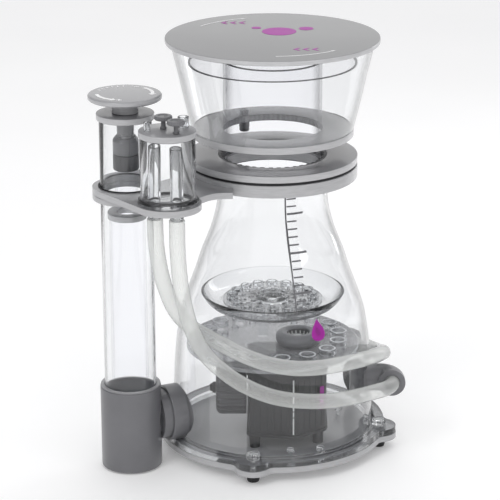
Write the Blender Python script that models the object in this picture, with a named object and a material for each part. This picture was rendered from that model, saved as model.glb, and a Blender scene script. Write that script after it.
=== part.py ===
"""Protein skimmer for a marine aquarium: bottle shaped reaction body, collection cup, pump,
standpipe with a water level regulator, and an air silencer that feeds two air hoses.

Units are metres, Z is up.  The model is built about the axis of the body, with z = 0 at the
underside of the base plate, and one parent empty moves it so that the origin is the centre of
the footprint on the floor.
"""
import math

import bmesh
import bpy
from mathutils import Matrix, Vector
from mathutils.geometry import tessellate_polygon

MM = 0.001

# ---------------------------------------------------------------- driving dimensions (mm)
FOOT_HEIGHT = 13.0
BODY_AXIS = (26.65, 16.07)         # body axis seen from the origin of the part

BASE_R = 141.7
BASE_TOP = 7.2
BASE_FLANGE = (7.5, 15.5)
LOBE_RING = 136.0
LOBE_R = 22.0
LOBE_ANGLES = (-10.0, 80.0, 170.0, 260.0)
LOBE_FILLET = 10.0

BODY_PROFILE = ((7.5, 125.0), (55.0, 125.0), (105.0, 122.5), (135.0, 119.5), (162.0, 115.0),
                (180.0, 109.8), (197.0, 103.5), (218.0, 95.8), (240.0, 88.5), (265.0, 78.6),
                (279.0, 74.0), (300.0, 69.0), (318.0, 67.4), (337.3, 67.0))
BODY_WALL = 3.0

FLANGE_R = 104.0
LOWER_FLANGE = (337.6, 352.6)
SEAL = (352.9, 355.5)
LOCK_RING = (355.8, 364.3)

RISER_R = 60.4
RISER_WALL = 3.0
RISER = (353.2, 483.0)
CUP_FLOOR = (389.5, 398.0)
CUP_FLOOR_R = 99.0
CUP_PROFILE = ((398.3, 99.0), (408.0, 101.5), (435.0, 108.0), (465.0, 114.5), (490.0, 120.5),
               (504.2, 123.5))
CUP_WALL = 2.5
DRAIN_AT = (-35.4, 58.6)

LID_R = 130.0
LID = (504.5, 510.5)
LID_SKIRT = (479.0, 504.2)
LID_SKIRT_R = 102.6

BUBBLE_PLATE = (116.0, 121.0)
BUBBLE_PLATE_R = 107.0
BUBBLE_HOLES = 16
BUBBLE_HOLE_RING = 84.0
BUBBLE_HOLE_R = 8.0
POST_RING = 103.0
POST_ANGLES = (-60.0, 60.0, 180.0)

OUTLET_AT = (32.0, -12.0)
PUMP_OUTLINE = ((-32, -78), (-29, -84), (22, -94), (29, -93), (65, -67), (68, -60),
                (68, 2), (60, 14), (-24, 14), (-32, 6))
PUMP_Z = (25.0, 111.8)

PIPE_AT = (-174.3, -80.0)
PIPE_R = 31.5
PIPE_WALL = 2.5
TEE_R = 37.2
TEE_Z = (-11.2, 92.6)
TEE_SOCKET = 60.0
BRANCH_R = 31.0
BRANCH_Z = 47.0
PIPE_CAP = (429.5, 436.9)
PIPE_CAP_R = 34.6

WHEEL_R = 44.0
WHEEL = (453.2, 460.3)
HUB_R = 15.7
STEM_R = 10.7
STEM = (375.0, 436.9)
NUT_R = 16.0
NUT = (366.6, 405.4)
SHOULDER = (307.0, 314.0)
SLEEVE_R = 22.0

SILENCER_AT = (-121.5, -149.0)
SILENCER_R = 32.5
BRACKET = (339.3, 347.0)
AIR_PORTS = ((-137.4, -148.0), (-111.4, -155.6))
VALVES = ((-126.2, -143.0), (-110.6, -165.0))

ELBOW_R = 17.0
ELBOW_BORE = 10.2
ELBOW_Z = 82.0
ELBOW_X = 148.0
ELBOW_Y = -30.0
REAR_ELBOW_ANGLE = 46.0
REAR_ELBOW_X = 142.0
REAR_ELBOW_Z = 84.0

HOSE_R = 9.5
UPPER_HOSE = ((-137.4, -148.0, 326.7), (-136.6, -147.4, 296.0), (-133.0, -142.0, 264.0),
              (-126.5, -133.0, 233.0), (-116.7, -121.5, 204.0), (-102.5, -111.0, 181.5),
              (-85.0, -108.0, 168.5), (-65.8, -114.5, 160.0), (-40.0, -127.5, 150.5),
              (-10.0, -136.0, 141.5), (21.0, -136.6, 135.3), (51.0, -128.2, 132.1),
              (81.6, -111.3, 130.2), (106.0, -88.5, 126.8), (125.5, -60.5, 121.8),
              (136.3, -33.0, 115.5), (138.6, -8.0, 107.0), (136.8, 18.0, 98.0),
              (130.5, 45.0, 90.5), (120.5, 71.0, 85.5))
LOWER_HOSE = ((-111.4, -155.6, 326.7), (-111.2, -155.5, 290.6), (-108.8, -154.0, 253.0),
              (-104.1, -150.0, 220.3), (-98.1, -144.0, 193.0), (-89.1, -136.5, 167.1),
              (-76.3, -130.5, 145.0), (-58.0, -131.0, 127.5), (-39.0, -133.5, 114.5),
              (-16.0, -137.0, 104.0), (8.9, -137.9, 96.5), (39.1, -133.3, 91.0),
              (69.6, -121.6, 87.0), (98.0, -101.5, 83.5), (122.0, -82.0, 81.8),
              (139.5, -69.0, 81.8))
HOSE_POINTS = 46

SEG_LARGE = 40
SEG_MEDIUM = 28
SEG_SMALL = 16


# ---------------------------------------------------------------- scene and materials
def clear_scene():
    for obj in list(bpy.data.objects):
        bpy.data.objects.remove(obj, do_unlink=True)


def material(name, colour, roughness, metallic=0.0, alpha=1.0):
    mat = bpy.data.materials.new(name)
    mat.use_nodes = True
    shader = mat.node_tree.nodes["Principled BSDF"]
    shader.inputs["Base Color"].default_value = (*colour, 1.0)
    shader.inputs["Roughness"].default_value = roughness
    shader.inputs["Metallic"].default_value = metallic
    shader.inputs["Alpha"].default_value = alpha
    mat.diffuse_color = (*colour, alpha)
    return mat


CLEAR = (0.90, 0.93, 0.95)
LIGHT_GREY = (0.50, 0.50, 0.51)
MID_GREY = (0.36, 0.36, 0.37)
DARK_GREY = (0.115, 0.115, 0.12)
BLACK = (0.02, 0.02, 0.022)
HOSE_WHITE = (0.80, 0.81, 0.79)


def finish(name, mesh, colour, roughness=0.3, alpha=1.0, at=(0.0, 0.0), smooth=True):
    """Turn a mesh into a named object under the frame empty, at a point on the plan (mm)."""
    obj = bpy.data.objects.new(name, mesh)
    bpy.context.scene.collection.objects.link(obj)
    mesh.materials.append(material(name, colour, roughness, 0.0, alpha))
    for poly in mesh.polygons:
        poly.use_smooth = smooth
    if smooth:
        mark_sharp(mesh)
    obj.parent = bpy.data.objects["frame"]
    obj.location = (at[0] * MM, at[1] * MM, 0.0)
    return obj


def mark_sharp(mesh, limit=math.radians(35.0)):
    bm = bmesh.new()
    bm.from_mesh(mesh)
    for edge in bm.edges:
        edge.smooth = len(edge.link_faces) == 2 and edge.calc_face_angle(0.0) < limit
    bm.to_mesh(mesh)
    bm.free()


# ---------------------------------------------------------------- shape helpers
def revolve(name, profile, colour, segments, at=(0.0, 0.0), **look):
    """Turn a closed (radius, height) loop in mm about the vertical through 'at'."""
    bm = bmesh.new()
    rings = []
    for radius, height in profile:
        if radius < 1e-6:
            rings.append([bm.verts.new((0.0, 0.0, height * MM))])
            continue
        ring = []
        for i in range(segments):
            angle = 2.0 * math.pi * i / segments
            ring.append(bm.verts.new((radius * MM * math.cos(angle),
                                      radius * MM * math.sin(angle), height * MM)))
        rings.append(ring)
    for first, second in zip(rings, rings[1:] + rings[:1]):
        if len(first) == 1 and len(second) == 1:
            continue
        for i in range(segments):
            j = (i + 1) % segments
            corners = [first[i % len(first)], first[j % len(first)],
                       second[j % len(second)], second[i % len(second)]]
            unique = list(dict.fromkeys(corners))
            bm.faces.new(unique)
    bmesh.ops.recalc_face_normals(bm, faces=bm.faces)
    mesh = bpy.data.meshes.new(name)
    bm.to_mesh(mesh)
    bm.free()
    return finish(name, mesh, colour, at=at, **look)


def ring_profile(r_in, r_out, z0, z1, chamfer=0.8):
    """Annular section with its outer corners broken."""
    return [(r_in, z0), (r_out - chamfer, z0), (r_out, z0 + chamfer), (r_out, z1 - chamfer),
            (r_out - chamfer, z1), (r_in, z1)]


def disc_profile(radius, z0, z1, chamfer=0.8):
    return [(0.0, z0), (radius - chamfer, z0), (radius, z0 + chamfer), (radius, z1 - chamfer),
            (radius - chamfer, z1), (0.0, z1)]


def circle(cx, cy, radius, count):
    return [(cx + radius * math.cos(2.0 * math.pi * i / count),
             cy + radius * math.sin(2.0 * math.pi * i / count)) for i in range(count)]


def prism(name, outline, z0, z1, colour, holes=(), **look):
    """Extrude an outline with holes (all in mm) between two heights."""
    loops = [list(outline)] + [list(hole) for hole in holes]
    flat = [[Vector((x * MM, y * MM, 0.0)) for x, y in loop] for loop in loops]
    triangles = tessellate_polygon(flat)
    points = [point for loop in flat for point in loop]
    bm = bmesh.new()
    low = [bm.verts.new((p.x, p.y, z0 * MM)) for p in points]
    high = [bm.verts.new((p.x, p.y, z1 * MM)) for p in points]
    for a, b, c in triangles:
        bm.faces.new((low[a], low[b], low[c]))
        bm.faces.new((high[c], high[b], high[a]))
    start = 0
    for loop in flat:
        count = len(loop)
        for i in range(count):
            j = (i + 1) % count
            bm.faces.new((low[start + i], low[start + j], high[start + j], high[start + i]))
        start += count
    bmesh.ops.recalc_face_normals(bm, faces=bm.faces)
    mesh = bpy.data.meshes.new(name)
    bm.to_mesh(mesh)
    bm.free()
    return finish(name, mesh, colour, **look)


def sweep_tube(name, path, r_out, r_in, colour, segments=20, **look):
    """Pipe with a bore along a plane path (mm) whose plane is parallel to the floor."""
    bm = bmesh.new()
    points = [Vector(p) * MM for p in path]
    rows = []
    for i, point in enumerate(points):
        before = points[max(i - 1, 0)]
        after = points[min(i + 1, len(points) - 1)]
        tangent = (after - before).normalized()
        side = tangent.cross(Vector((0.0, 0.0, 1.0))).normalized()
        for radius in (r_out, r_in):
            row = []
            for k in range(segments):
                angle = 2.0 * math.pi * k / segments
                offset = side * math.cos(angle) + Vector((0.0, 0.0, 1.0)) * math.sin(angle)
                row.append(bm.verts.new(point + offset * radius * MM))
            rows.append(row)
    outer = rows[0::2]
    inner = rows[1::2]
    strips = list(zip(outer, outer[1:])) + list(zip(inner, inner[1:]))
    strips += [(outer[0], inner[0]), (outer[-1], inner[-1])]
    for first, second in strips:
        for k in range(segments):
            j = (k + 1) % segments
            bm.faces.new((first[k], first[j], second[j], second[k]))
    bmesh.ops.recalc_face_normals(bm, faces=bm.faces)
    mesh = bpy.data.meshes.new(name)
    bm.to_mesh(mesh)
    bm.free()
    return finish(name, mesh, colour, **look)


def cylinder_tool(name, start, end, radius, segments=32):
    """Plain cylinder between two points (mm), only used to cut or join."""
    a = Vector(start) * MM
    b = Vector(end) * MM
    axis = b - a
    bm = bmesh.new()
    bmesh.ops.create_cone(bm, cap_ends=True, segments=segments, radius1=radius * MM,
                          radius2=radius * MM, depth=axis.length)
    turn = Vector((0.0, 0.0, 1.0)).rotation_difference(axis.normalized()).to_matrix().to_4x4()
    bm.transform(Matrix.Translation((a + b) / 2.0) @ turn)
    mesh = bpy.data.meshes.new(name)
    bm.to_mesh(mesh)
    bm.free()
    obj = bpy.data.objects.new(name, mesh)
    bpy.context.scene.collection.objects.link(obj)
    obj.parent = bpy.data.objects["frame"]
    return obj


def boolean(obj, tool, operation):
    """Apply one exact boolean and throw the tool away."""
    bpy.context.view_layer.update()
    modifier = obj.modifiers.new(operation, "BOOLEAN")
    modifier.operation = operation
    modifier.solver = "EXACT"
    modifier.object = tool
    graph = bpy.context.evaluated_depsgraph_get()
    mesh = bpy.data.meshes.new_from_object(obj.evaluated_get(graph))
    obj.modifiers.clear()
    obj.data = mesh
    bpy.data.objects.remove(tool, do_unlink=True)
    mark_sharp(obj.data)


def polar(radius, degrees):
    return (radius * math.cos(math.radians(degrees)), radius * math.sin(math.radians(degrees)))


def smooth_route(points, count):
    """Evenly spaced points on a Catmull-Rom curve through the route points."""
    route = [Vector(p) for p in points]
    route = [route[0] * 2.0 - route[1]] + route + [route[-1] * 2.0 - route[-2]]
    dense = []
    for i in range(1, len(route) - 2):
        p0, p1, p2, p3 = route[i - 1:i + 3]
        for step in range(24):
            t = step / 24.0
            dense.append(0.5 * (2.0 * p1 + (p2 - p0) * t + (2.0 * p0 - 5.0 * p1 + 4.0 * p2 - p3)
                                * t * t + (3.0 * p1 - p0 - 3.0 * p2 + p3) * t ** 3))
    dense.append(route[-2])
    lengths = [0.0]
    for first, second in zip(dense, dense[1:]):
        lengths.append(lengths[-1] + (second - first).length)
    even = []
    index = 0
    for k in range(count):
        goal = lengths[-1] * k / (count - 1)
        while index < len(dense) - 2 and lengths[index + 1] < goal:
            index += 1
        span = max(lengths[index + 1] - lengths[index], 1e-9)
        even.append(dense[index].lerp(dense[index + 1], (goal - lengths[index]) / span))
    return even


def hose(name, route):
    curve = bpy.data.curves.new(name, "CURVE")
    curve.dimensions = "3D"
    curve.bevel_depth = HOSE_R * MM
    curve.bevel_resolution = 2
    curve.resolution_u = 1
    curve.render_resolution_u = 0
    curve.use_fill_caps = True
    spline = curve.splines.new("POLY")
    points = smooth_route(route, HOSE_POINTS)
    spline.points.add(len(points) - 1)
    for target, point in zip(spline.points, points):
        target.co = (*(point * MM), 1.0)
    spline.use_smooth = True
    obj = bpy.data.objects.new(name, curve)
    bpy.context.scene.collection.objects.link(obj)
    curve.materials.append(material(name, HOSE_WHITE, 0.35))
    obj.parent = bpy.data.objects["frame"]
    return obj


# ---------------------------------------------------------------- base
def lobed_outline(inset=0.0):
    """Round plate with four lobes, each blended into the round by a fillet."""
    plate = BASE_R - inset
    lobe = LOBE_R - inset
    fillet = LOBE_FILLET + inset
    reach = plate + fillet
    span = lobe + fillet
    # angle between a lobe and the centre of its fillet, from the triangle of centres
    cosine = (LOBE_RING ** 2 + reach ** 2 - span ** 2) / (2.0 * LOBE_RING * reach)
    offset = math.acos(cosine)
    points = []
    for index, angle in enumerate(LOBE_ANGLES):
        middle = math.radians(angle)
        lobe_x = LOBE_RING * math.cos(middle)
        lobe_y = LOBE_RING * math.sin(middle)
        for side in (-1.0, 1.0):
            fx = reach * math.cos(middle + side * offset)
            fy = reach * math.sin(middle + side * offset)
            to_axis = math.atan2(-fy, -fx)
            to_lobe = math.atan2(lobe_y - fy, lobe_x - fx)
            turn = (to_lobe - to_axis + math.pi) % (2.0 * math.pi) - math.pi
            arc = [(fx + fillet * math.cos(to_axis + turn * k / 3.0),
                    fy + fillet * math.sin(to_axis + turn * k / 3.0)) for k in range(4)]
            if side < 0.0:
                points += arc
                start = math.atan2(fy - lobe_y, fx - lobe_x)
                half = (middle - start + math.pi) % (2.0 * math.pi) - math.pi
                points += [(lobe_x + lobe * math.cos(middle - half + half * k / 4.0),
                            lobe_y + lobe * math.sin(middle - half + half * k / 4.0))
                           for k in range(1, 8)]
            else:
                points += arc[::-1]
        following = math.radians(LOBE_ANGLES[(index + 1) % 4])
        sweep = (following - middle) % (2.0 * math.pi) - 2.0 * offset
        points += [(plate * math.cos(middle + offset + sweep * k / 8.0),
                    plate * math.sin(middle + offset + sweep * k / 8.0)) for k in range(1, 8)]
    return points


def build_base():
    prism("base_plate", lobed_outline(), 0.0, BASE_TOP, LIGHT_GREY, roughness=0.45)
    holes = [circle(0.0, 0.0, BODY_PROFILE[0][1] + 0.3, SEG_LARGE)]
    for angle in LOBE_ANGLES:
        x, y = polar(LOBE_RING, angle)
        holes.append(circle(x, y, 3.3, 8))
    prism("base_flange", lobed_outline(0.6), BASE_FLANGE[0], BASE_FLANGE[1], CLEAR, holes,
          roughness=0.08, alpha=0.35)
    foot = [(0.0, -FOOT_HEIGHT), (6.6, -FOOT_HEIGHT), (7.4, -FOOT_HEIGHT + 0.8), (9.2, -2.0),
            (9.2, -0.3), (0.0, -0.3)]
    screw = [(0.0, 8.0), (3.0, 8.0), (3.0, 15.8), (8.0, 15.8), (8.8, 16.6), (8.8, 22.0),
             (6.0, 24.5), (0.0, 24.5)]
    for number, angle in enumerate(LOBE_ANGLES, 1):
        spot = polar(LOBE_RING, angle)
        revolve(f"foot_{number}", foot, BLACK, SEG_SMALL, spot, roughness=0.7)
        revolve(f"thumbscrew_{number}", screw, CLEAR, 12, spot, roughness=0.1, alpha=0.45)


# ---------------------------------------------------------------- reaction body
def shell_loop(profile, wall):
    outer = [(radius, height) for height, radius in profile]
    inner = [(radius - wall, height) for height, radius in reversed(profile)]
    return outer + inner


def build_body():
    shell = revolve("body_shell", shell_loop(BODY_PROFILE, BODY_WALL), CLEAR, SEG_LARGE,
                    roughness=0.06, alpha=0.3)
    boolean(shell, cylinder_tool("cut", (90.0, ELBOW_Y, ELBOW_Z), (150.0, ELBOW_Y, ELBOW_Z),
                                 ELBOW_R + 0.4, 24), "DIFFERENCE")
    inside = polar(90.0, REAR_ELBOW_ANGLE)
    outside = polar(150.0, REAR_ELBOW_ANGLE)
    boolean(shell, cylinder_tool("cut", (*inside, REAR_ELBOW_Z), (*outside, REAR_ELBOW_Z),
                                 ELBOW_R + 0.4, 24), "DIFFERENCE")
    far = Vector((PIPE_AT[0], PIPE_AT[1]))
    near = far.normalized() * 80.0
    boolean(shell, cylinder_tool("cut", (near.x, near.y, BRANCH_Z), (far.x, far.y, BRANCH_Z),
                                 25.0, 24), "DIFFERENCE")
    revolve("lower_flange", ring_profile(64.2, FLANGE_R, *LOWER_FLANGE, 1.0), LIGHT_GREY,
            SEG_LARGE, roughness=0.4)
    revolve("flange_seal", ring_profile(97.5, 102.4, *SEAL, 0.6), BLACK, SEG_LARGE,
            roughness=0.6)


def build_inside():
    holes = []
    for k in range(BUBBLE_HOLES):
        x, y = polar(BUBBLE_HOLE_RING, -82.0 + 360.0 * k / BUBBLE_HOLES)
        holes.append(circle(x, y, BUBBLE_HOLE_R, 10))
    holes.append(circle(*OUTLET_AT, 16.2, 20))
    prism("bubble_plate", circle(0.0, 0.0, BUBBLE_PLATE_R, SEG_LARGE), *BUBBLE_PLATE, CLEAR,
          holes, roughness=0.08, alpha=0.35)
    for number, angle in enumerate(POST_ANGLES, 1):
        revolve(f"plate_post_{number}", disc_profile(5.0, 7.5, 115.7, 0.6), CLEAR, 12,
                polar(POST_RING, angle), roughness=0.1, alpha=0.4)
    bowl = [(14.0, 168.0), (70.0, 168.0), (78.0, 172.0), (84.5, 179.0), (89.5, 188.0),
            (86.6, 188.6), (81.8, 180.2), (76.0, 174.2), (69.2, 170.6), (14.0, 170.6)]
    revolve("diffuser_bowl", bowl, CLEAR, SEG_LARGE, roughness=0.08, alpha=0.35)
    revolve("diffuser_plate", ring_profile(18.0, 62.0, 174.0, 177.0, 0.4), CLEAR, SEG_MEDIUM,
            roughness=0.08, alpha=0.35)
    square = [(-18.0, 6.0), (-6.0, 6.0), (-6.0, 18.0), (-18.0, 18.0)]
    prism("bowl_post", square, 121.3, 167.7, CLEAR, roughness=0.1, alpha=0.4, smooth=False)


def build_pump():
    prism("pump_block", PUMP_OUTLINE, *PUMP_Z, DARK_GREY, roughness=0.5)
    motor = cylinder_tool("motor", (-70.0, -36.0, 71.0), (-32.4, -36.0, 71.0), 33.0, 28)
    mesh = motor.data
    bpy.data.objects.remove(motor, do_unlink=True)
    mesh.name = "pump_motor"
    finish("pump_motor", mesh, MID_GREY, 0.5)
    gland = cylinder_tool("gland", (-78.0, -36.0, 71.0), (-70.3, -36.0, 71.0), 7.0, 16)
    mesh = gland.data
    bpy.data.objects.remove(gland, do_unlink=True)
    mesh.name = "cable_gland"
    finish("cable_gland", mesh, BLACK, 0.6)
    volute = [(10.0, 112.1), (15.8, 112.1), (15.8, 121.4), (24.0, 121.4), (27.5, 124.5),
              (28.5, 130.0), (26.5, 135.0), (21.0, 137.0), (15.0, 136.5), (13.5, 134.0),
              (21.0, 132.5), (21.5, 125.0), (10.0, 124.0)]
    revolve("pump_volute", volute, DARK_GREY, SEG_MEDIUM, OUTLET_AT, roughness=0.5)
    star = []
    for k in range(16):
        radius = 17.5 if k % 2 else 7.0
        star.append((radius * math.cos(math.pi * k / 8.0), radius * math.sin(math.pi * k / 8.0)))
    wheel = prism("impeller", star, 125.6, 131.5, HOSE_WHITE, roughness=0.5, smooth=False)
    wheel.location = (OUTLET_AT[0] * MM, OUTLET_AT[1] * MM, 0.0)
    strainer_in = polar(125.6, 34.0)
    strainer_out = polar(146.0, 34.0)
    strainer = cylinder_tool("strainer", (*strainer_in, 41.0), (*strainer_out, 41.0), 23.0, 28)
    mesh = strainer.data
    bpy.data.objects.remove(strainer, do_unlink=True)
    mesh.name = "intake_strainer"
    finish("intake_strainer", mesh, DARK_GREY, 0.55)


def elbow_path(x_start, x_bend, y_axis, drop, height):
    """Along +X and then a quarter turn towards -Y."""
    bend = 14.0
    path = [(x_start, y_axis, height), (x_bend - bend, y_axis, height)]
    for k in range(1, 7):
        angle = math.pi / 2.0 * k / 6.0
        path.append((x_bend - bend + bend * math.sin(angle),
                     y_axis - bend + bend * math.cos(angle), height))
    path.append((x_bend, y_axis - drop, height))
    return path


def build_elbows():
    sweep_tube("air_elbow", elbow_path(96.0, ELBOW_X, ELBOW_Y, 21.0, ELBOW_Z), ELBOW_R,
               ELBOW_BORE, DARK_GREY, roughness=0.45)
    turn = Matrix.Rotation(math.radians(REAR_ELBOW_ANGLE), 3, "Z")
    path = [tuple(turn @ Vector(p))
            for p in elbow_path(100.0, REAR_ELBOW_X, 0.0, 21.0, REAR_ELBOW_Z)]
    sweep_tube("rear_air_elbow", path, ELBOW_R, ELBOW_BORE, DARK_GREY, roughness=0.45)


# ---------------------------------------------------------------- standpipe and regulator
def build_standpipe():
    loop = [(28.0, TEE_Z[0]), (TEE_R - 1.2, TEE_Z[0]), (TEE_R, TEE_Z[0] + 1.2),
            (TEE_R, TEE_Z[1] - 1.5), (TEE_R - 1.5, TEE_Z[1]), (PIPE_R + 0.4, TEE_Z[1]),
            (PIPE_R + 0.4, TEE_SOCKET), (28.0, TEE_SOCKET)]
    tee = revolve("outlet_tee", loop, DARK_GREY, SEG_MEDIUM, PIPE_AT, roughness=0.45)
    way = -Vector((PIPE_AT[0], PIPE_AT[1])).normalized()
    centre = Vector((PIPE_AT[0], PIPE_AT[1]))

    def along(distance):
        spot = centre + way * distance
        return (spot.x, spot.y, BRANCH_Z)

    boolean(tee, cylinder_tool("branch", along(33.0), along(84.0), BRANCH_R, 28), "UNION")
    boolean(tee, cylinder_tool("bore", along(10.0), along(90.0), 24.0, 24), "DIFFERENCE")
    boolean(tee, cylinder_tool("saddle", (0.0, 0.0, 0.0), (0.0, 0.0, 110.0),
                               BODY_PROFILE[0][1] + 0.5, 96), "DIFFERENCE")
    revolve("standpipe", [(PIPE_R - PIPE_WALL, TEE_SOCKET + 0.3), (PIPE_R, TEE_SOCKET + 0.3),
                          (PIPE_R, 429.2), (PIPE_R - PIPE_WALL, 429.2)], CLEAR, SEG_MEDIUM,
            PIPE_AT, roughness=0.06, alpha=0.3)
    revolve("pipe_cap", ring_profile(STEM_R + 0.5, PIPE_CAP_R, *PIPE_CAP, 0.8), MID_GREY,
            SEG_MEDIUM, PIPE_AT, roughness=0.4)


def build_regulator():
    wheel = [(0.0, WHEEL[0] - 16.0), (HUB_R, WHEEL[0] - 16.0), (HUB_R, WHEEL[0])]
    wheel += disc_profile(WHEEL_R, *WHEEL, 1.4)[1:]
    revolve("regulator_wheel", wheel, LIGHT_GREY, SEG_LARGE, PIPE_AT, roughness=0.4)
    revolve("regulator_stem", disc_profile(STEM_R, *STEM, 0.5), MID_GREY, 20, PIPE_AT,
            roughness=0.35)
    revolve("regulator_nut", ring_profile(STEM_R + 0.4, NUT_R, *NUT, 1.0), DARK_GREY,
            SEG_MEDIUM, PIPE_AT, roughness=0.4)
    revolve("sleeve_upper", ring_profile(12.0, 14.0, 314.3, 366.3, 0.3), CLEAR, 20, PIPE_AT,
            roughness=0.08, alpha=0.35)
    revolve("sleeve_shoulder", ring_profile(12.0, 24.0, *SHOULDER, 0.8), LIGHT_GREY,
            SEG_MEDIUM, PIPE_AT, roughness=0.35)
    revolve("sleeve_lower", ring_profile(SLEEVE_R - 2.0, SLEEVE_R, 100.0, 306.7, 0.3), CLEAR,
            20, PIPE_AT, roughness=0.08, alpha=0.35)


# ---------------------------------------------------------------- bracket and silencer
def bracket_outline():
    px, py = PIPE_AT
    sx, sy = SILENCER_AT
    pipe_r = 41.0
    silencer_r = 39.0
    points = []
    for k in range(13):
        angle = math.radians(96.0 + (218.0 - 96.0) * k / 12.0)
        points.append((px + pipe_r * math.cos(angle), py + pipe_r * math.sin(angle)))
    for k in range(16):
        angle = math.radians(218.0 + (385.0 - 218.0) * k / 15.0)
        points.append((sx + silencer_r * math.cos(angle), sy + silencer_r * math.sin(angle)))
    points += [(-76.0, -120.0), (-64.0, -112.5), (-47.0, -111.0)]
    for k in range(13):
        angle = 243.2 - (243.2 - 192.0) * k / 12.0
        points.append(polar(FLANGE_R + 0.4, angle))
    points += [(-121.0, -24.0), (-150.0, -34.0)]
    return points


def build_bracket():
    holes = [circle(*PIPE_AT, PIPE_R + 0.4, SEG_MEDIUM)]
    prism("bracket", bracket_outline(), *BRACKET, LIGHT_GREY, holes, roughness=0.4)
    revolve("bracket_clamp", ring_profile(PIPE_R + 0.4, 41.0, 332.0, 339.0, 0.8), LIGHT_GREY,
            SEG_MEDIUM, PIPE_AT, roughness=0.4)


def build_silencer():
    revolve("silencer_base", ring_profile(16.0, 36.1, 347.3, 352.3, 0.8), CLEAR, SEG_MEDIUM,
            SILENCER_AT, roughness=0.1, alpha=0.4)
    revolve("silencer_tube", [(SILENCER_R - 2.5, 352.6), (SILENCER_R, 352.6),
                              (SILENCER_R, 426.3), (SILENCER_R - 2.5, 426.3)], CLEAR,
            SEG_MEDIUM, SILENCER_AT, roughness=0.06, alpha=0.3)
    prism("silencer_cap", circle(*SILENCER_AT, 33.7, SEG_MEDIUM), 426.6, 434.0, LIGHT_GREY,
          roughness=0.4)
    for number, spot in enumerate(AIR_PORTS, 1):
        revolve(f"air_port_{number}", ring_profile(4.2, 8.2, 327.0, 339.0, 0.8), CLEAR,
                SEG_SMALL, spot, roughness=0.1, alpha=0.4)
        revolve(f"silencer_pipe_{number}", ring_profile(5.6, 7.6, 352.6, 412.0, 0.4), CLEAR,
                SEG_SMALL, spot, roughness=0.08, alpha=0.4)
    knob = [(0.0, 434.3), (2.9, 434.3), (2.9, 445.0), (9.8, 445.0), (10.6, 445.8),
            (10.6, 449.2), (9.8, 450.0), (0.0, 450.0)]
    for number, spot in enumerate(VALVES, 1):
        revolve(f"air_valve_{number}", knob, DARK_GREY, SEG_SMALL, spot, roughness=0.5)
    revolve("silencer_vent_1", ring_profile(2.4, 3.8, 434.3, 445.0, 0.3), CLEAR, 12,
            (-144.6, -154.0), roughness=0.1, alpha=0.5)
    revolve("silencer_vent_2", ring_profile(4.6, 6.6, 434.3, 446.0, 0.3), CLEAR, SEG_SMALL,
            (-103.5, -132.5), roughness=0.1, alpha=0.5)


# ---------------------------------------------------------------- collection cup and lid
def build_cup():
    revolve("lock_ring", ring_profile(RISER_R + 0.5, FLANGE_R, *LOCK_RING, 1.0), MID_GREY,
            SEG_LARGE, roughness=0.4)
    revolve("riser", [(RISER_R - RISER_WALL, RISER[0]), (RISER_R, RISER[0]),
                      (RISER_R, RISER[1]), (RISER_R - RISER_WALL, RISER[1])], CLEAR, SEG_LARGE,
            roughness=0.06, alpha=0.3)
    prism("cup_floor", circle(0.0, 0.0, CUP_FLOOR_R, SEG_LARGE), *CUP_FLOOR, MID_GREY,
          [circle(0.0, 0.0, RISER_R + 0.3, SEG_LARGE), circle(*DRAIN_AT, 4.0, 12)],
          roughness=0.4)
    revolve("drain_nipple", ring_profile(4.0, 6.5, 377.0, 389.2, 0.6), DARK_GREY, SEG_SMALL,
            DRAIN_AT, roughness=0.5)
    revolve("cup_wall", shell_loop(CUP_PROFILE, CUP_WALL), CLEAR, SEG_LARGE, roughness=0.05,
            alpha=0.3)
    revolve("lid", disc_profile(LID_R, *LID, 1.2), MID_GREY, SEG_LARGE, roughness=0.4)
    revolve("lid_skirt", ring_profile(LID_SKIRT_R - 2.5, LID_SKIRT_R, *LID_SKIRT, 0.4), CLEAR,
            SEG_LARGE, roughness=0.06, alpha=0.3)


def build_hoses():
    turn = Matrix.Rotation(math.radians(REAR_ELBOW_ANGLE), 3, "Z")
    rear_end = [tuple(turn @ Vector((REAR_ELBOW_X, y, REAR_ELBOW_Z))) for y in (-26.0, -15.5)]
    hose("upper_air_hose", UPPER_HOSE + tuple(rear_end))
    front_end = ((ELBOW_X, ELBOW_Y - 25.0, ELBOW_Z), (ELBOW_X, ELBOW_Y - 15.5, ELBOW_Z))
    hose("lower_air_hose", LOWER_HOSE + front_end)


def main():
    clear_scene()
    frame = bpy.data.objects.new("frame", None)
    bpy.context.scene.collection.objects.link(frame)
    frame.location = (BODY_AXIS[0] * MM, BODY_AXIS[1] * MM, FOOT_HEIGHT * MM)
    bpy.context.view_layer.update()
    build_base()
    build_body()
    build_inside()
    build_pump()
    build_elbows()
    build_standpipe()
    build_regulator()
    build_bracket()
    build_silencer()
    build_cup()
    build_hoses()
    bpy.context.view_layer.update()


main()
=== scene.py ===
"""Looks for the protein skimmer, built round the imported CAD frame."""
import math

import bmesh
import bpy
from mathutils import Matrix, Vector
from mathutils.geometry import tessellate_polygon


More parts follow.
